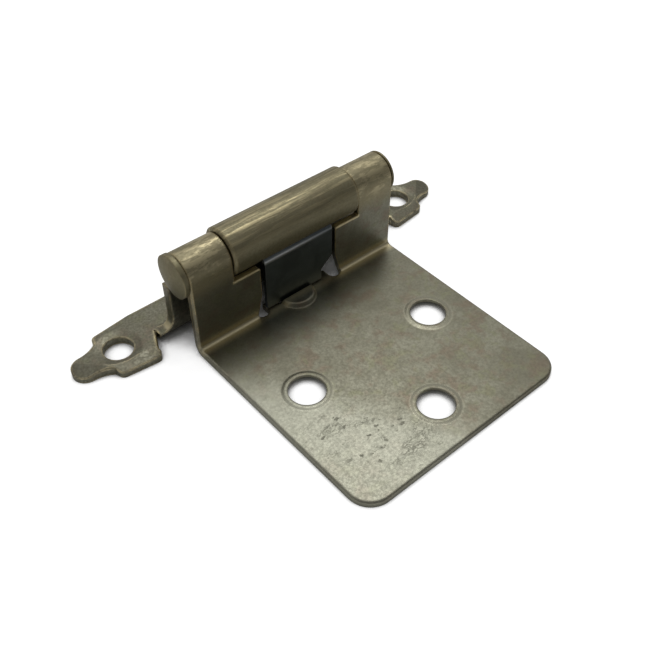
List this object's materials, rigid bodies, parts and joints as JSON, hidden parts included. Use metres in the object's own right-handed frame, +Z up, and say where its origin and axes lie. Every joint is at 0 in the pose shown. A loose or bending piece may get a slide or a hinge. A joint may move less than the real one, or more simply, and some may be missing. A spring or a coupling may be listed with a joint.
{
  "type": "self-closing cabinet hinge",
  "caption": "Face-mounted self-closing cabinet hinge: a door wing and a finial-ended frame wing turn about a riveted pin, with a spring clip on the barrel's flat.",
  "frame": {"origin": "midway between the two frame screws, on the face that lies on the cabinet frame", "axes": "+X along the hinge pin; +Z up from the face that both wings lie on; the door wing lies on -Y"},
  "size_m": [0.0698, 0.0487, 0.0171],
  "materials": {
    "bronzed_sheet": "antique bronze plate over steel, worn to brass on the edges",
    "bronzed_pin": "antique bronze plate over steel, worn to brass on the edges",
    "blued_spring": "blued spring steel, satin, near black"
  },
  "bodies": {
    "frame": {"frame_leaf": "bronzed_sheet"},
    "door": {"door_leaf": "bronzed_sheet", "hinge_pin": "bronzed_pin", "closing_spring": "blued_spring"}
  },
  "joints": [
    {"name": "door_swing", "type": "hinge", "parent": "frame", "child": "door", "pos_m": [0, -0.00445, 0.0133], "axis": [-1, 0, 0], "range_deg": [0, 180], "stiffness_Nm_per_rad": 0.02, "springref_deg": -20.05, "deforming": ["closing_spring"]}
  ]
}
